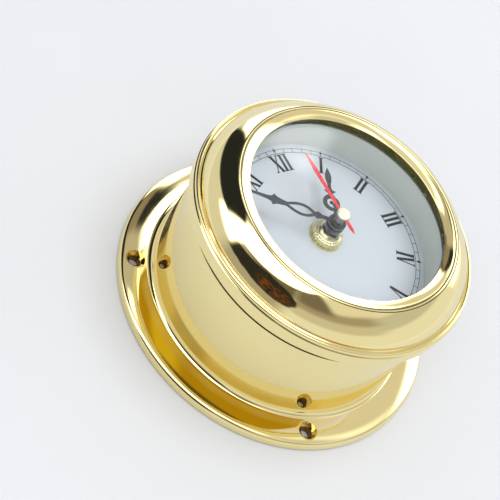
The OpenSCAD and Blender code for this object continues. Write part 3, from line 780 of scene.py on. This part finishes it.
def paint_screen(room):
    """Bright door, lit wall and window, with the dark screen between them and a dim wall beside the door."""
    bearing, height = room.bearing, room.height
    door = room.both(room.between(bearing, 46.0, 74.0, 1.5), room.over((62.0, -8.0), (75.0, 10.0)),
                     room.over((40.0, 2.0), (52.0, -8.0)))
    wall = room.either(room.both(room.step(bearing, 32.8, 34.0), room.step(height, 43.0, 44.5)),
                       room.step(height, 49.0, 52.0))
    room.paint(WHITE, room.either(door, room.both(room.between(bearing, 19.0, 100.0, 1.0), wall)))
    room.paint(grey(2.8), room.between(bearing, 126.0, 158.0, 3.0), room.step(height, 17.0, 23.0))
    # The screen has a wedge that reaches over the door
    reach = room.either(room.over((38.0, 45.0), (60.0, 37.0)), room.over((60.0, 37.0), (74.0, 27.0)))
    wedge = room.both(room.step(bearing, 37.0, 38.5), reach, room.step(bearing, 76.0, 74.0))
    block = room.both(room.step(bearing, 72.0, 75.5), room.over((80.0, 0.0), (130.0, 31.0)),
                      room.step(bearing, 136.0, 130.5))
    room.paint(rgb(0.022, 0.024, 0.028), room.either(wedge, block),
               room.under((38.0, 48.0), (54.0, 53.5), 0.8), room.under((95.0, 62.0), (135.0, 56.0)))
    room.patch(grey(0.6, 0.1), (62.0, 98.0), (52.0, 62.0), (3.0, 1.5))
    room.patch(grey(0.30, 0.3), (52.0, 77.0), (40.0, 51.0), (2.0, 2.0))
    # Dim wall beside the door, with a dark rail along it
    room.patch(grey(0.55, 0.1), (37.0, 66.0), (49.5, 60.0), (1.5, 1.0))
    room.patch(grey(0.55, 0.1), (31.0, 40.0), (54.6, 60.0), (1.5, 0.5))
    room.patch(grey(0.06, 0.2), (30.5, 42.0), (51.8, 54.6), (1.5, 0.4))


def paint_near_side(room):
    """Olive wall behind the camera, darker at the left, and the person who stands there in a rust coat."""
    bearing, height, turn = room.bearing, room.height, room.turn
    behind = room.both(room.step(turn, 216.0, 224.0), room.step(turn, 302.0, 282.0))
    room.paint(grey(0.66, 0.1), behind, room.step(height, 15.0, 21.0))
    room.paint(grey(0.42, 0.25), behind, room.step(height, 30.0, 37.0))
    room.paint(grey(0.20, 0.25), room.between(turn, 222.0, 256.0, 6.0), room.step(height, 38.0, 48.0))
    room.paint(grey(0.84, 0.05), room.step(turn, 252.0, 262.0), room.step(turn, 320.0, 300.0),
               room.step(height, 44.0, 52.0))
    # Shaded wall above the person
    room.paint(grey(0.17, 0.2), room.step(bearing, 164.0, 174.0), room.step(bearing, 224.0, 216.0),
               room.step(height, 38.0, 47.0))
    # Ragged outline, rounded off beyond bearing 204
    beyond = room.math("DIVIDE", room.math("SUBTRACT", bearing, 204.0), 19.0)
    aside = room.math("DIVIDE", room.math("SUBTRACT", height, 32.5), 15.5)
    away = room.math("ADD", room.square(room.math("MAXIMUM", beyond, 0.0)), room.square(aside))
    ragged = room.math("MULTIPLY", room.math("SUBTRACT", room.noise(9.0, 3.0), 0.5), 0.5)
    room.paint(rgb(0.030, 0.030, 0.030), room.step(bearing, 154.0, 161.0),
               room.step(room.math("ADD", away, ragged), 1.12, 0.9),
               room.under((156.0, 33.0), (188.0, 47.0)))
    folds = room.step(room.noise(17.0, 2.0), 0.44, 0.56)
    room.paint(rgb(0.17, 0.062, 0.020), room.between(bearing, 188.0, 217.0, 5.0),
               room.between(height, 20.0, 38.0, 4.0), folds)


def paint_ceiling(room):
    """Ceiling whose edge climbs from left to right behind the camera, with a dark moulding along it."""
    bearing, height = room.bearing, room.height
    room.paint(grey(0.06, 0.2), room.over((168.0, 42.3), (208.0, 54.8), 0.5),
               room.step(bearing, 160.0, 170.0), room.step(bearing, 262.0, 240.0))
    room.paint(WHITE, room.step(height, 68.0, 74.0))
    room.paint(grey(0.80), room.between(bearing, 0.0, 96.0, 6.0), room.step(height, 62.0, 68.0))
    room.paint(WHITE, room.step(bearing, 128.0, 140.0), room.over((168.0, 44.5), (208.0, 57.0)),
               room.step(bearing, 265.0, 256.0), room.over((180.0, 40.0), (240.0, 58.0)))


def brass_in_brass(room):
    """What the brass shows of itself: the drum in the flange and the flange in the drum.

    It is warmer than the room, with a second brass clock standing near. The drum sees it from a little lower
    than the flange does, so one curve of height over bearing parts what the two of them show."""
    height, turn = room.height, room.turn
    bend = room.square(room.math("DIVIDE", room.math("SUBTRACT", turn, 200.0), 110.0))
    split = room.add("Math", {0: bend, 1: 1.6, 2: height}, operation="MULTIPLY_ADD").outputs[0]
    low_gold = room.mix(room.between(turn, 148.0, 194.0, 10.0), rgb(0.72, 0.65, 0.45),
                        rgb(0.50, 0.46, 0.36))
    high_gold = room.mix(room.between(turn, 128.0, 176.0, 12.0), rgb(0.50, 0.32, 0.012),
                         rgb(0.74, 0.56, 0.04))
    for mask, colour in ((room.step(turn, 292.0, 300.0), rgb(0.84, 0.74, 0.37)),
                         (room.step(turn, 98.0, 84.0), rgb(0.42, 0.34, 0.16)),
                         (room.step(turn, 82.0, 74.0), grey(0.03, 0.3))):
        low_gold = room.mix(mask, low_gold, colour)
    for mask, colour in ((room.step(turn, 84.0, 78.0), grey(2.2)),
                         (room.between(height, 67.0, 80.0, 1.5), rgb(0.13, 0.09, 0.03)),
                         (room.step(height, 80.0, 83.0), grey(2.2)),
                         (room.step(turn, 304.0, 310.0), rgb(0.86, 0.88, 1.40))):
        high_gold = room.mix(mask, high_gold, colour)
    again = room.mix(room.step(split, 51.2, 52.0), low_gold, high_gold)
    return room.mix(room.step(height, 45.5, 42.5), again, rgb(0.86, 0.90, 1.20))


def studio():
    """Plain pale studio for the camera, even light for the shading and a room for the brass to mirror."""
    world = bpy.data.worlds.new("studio")
    world.use_nodes = True
    bpy.context.scene.world = world
    room = Room(world.node_tree, grey(0.88))
    paint_far_side(room)
    paint_screen(room)
    paint_near_side(room)
    paint_ceiling(room)

    rays = room.add("LightPath").outputs
    twice = room.math("GREATER_THAN", rays["Glossy Depth"], 1.5)
    scattered = room.math("GREATER_THAN", rays["Diffuse Depth"], 0.5)
    shown = room.mix(twice, room.colour, brass_in_brass(room))
    shown = room.mix(scattered, shown, rgb(0.535, 0.54, 0.555))
    shown = room.mix(rays["Is Camera Ray"], shown, rgb(0.88, 0.89, 0.92))
    background = world.node_tree.nodes["Background"]
    room.feed(background.inputs["Color"], shown)
    background.inputs["Strength"].default_value = 1.0
    world.cycles.sampling_method = "NONE"


studio()


# ---------------------------------------------------------------- lamps and camera

def toward(bearing, height):
    """Unit vector from the clock in a direction given in degrees."""
    a, e = math.radians(bearing), math.radians(height)
    return Vector((math.cos(a) * math.cos(e), math.sin(a) * math.cos(e), math.sin(e)))


def place(obj, location, back, roll=0.0):
    """Puts a lamp or camera in the scene, looking against the back vector."""
    obj.location = location
    obj.rotation_mode = "QUATERNION"
    turned = Quaternion((0, 0, 1), math.radians(roll))
    obj.rotation_quaternion = (-back).to_track_quat("-Z", "Y") @ turned
    bpy.context.scene.collection.objects.link(obj)


def softbox(name, bearing, height, watts):
    """Large square lamp that faces the clock, not itself mirrored by the brass."""
    lamp = bpy.data.lights.new(name, "AREA")
    lamp.size = 0.5
    lamp.energy = watts
    obj = bpy.data.objects.new(name, lamp)
    obj.visible_glossy = False
    back = toward(bearing, height)
    place(obj, back * LAMP_REACH, back)


def camera():
    """Looks at the clock as the photographer did, rolled so that the clock stands aslant in the picture."""
    target = Vector((-25.991, 5.377, 35.0)) * MM
    distance = 494.586 * MM
    back = toward(-150.523, 46.831)
    data = bpy.data.cameras.new("camera")
    data.lens = 106.244
    data.sensor_width = 36.0
    data.clip_start, data.clip_end = 0.01, 50.0
    obj = bpy.data.objects.new("camera", data)
    place(obj, target + back * distance, back, 37.792)
    bpy.context.scene.camera = obj


softbox("key_lamp", -20.0, 80.0, 3.0)
softbox("fill_lamp", 205.0, 52.0, 1.5)
camera()
bpy.context.scene.view_settings.view_transform = "Standard"
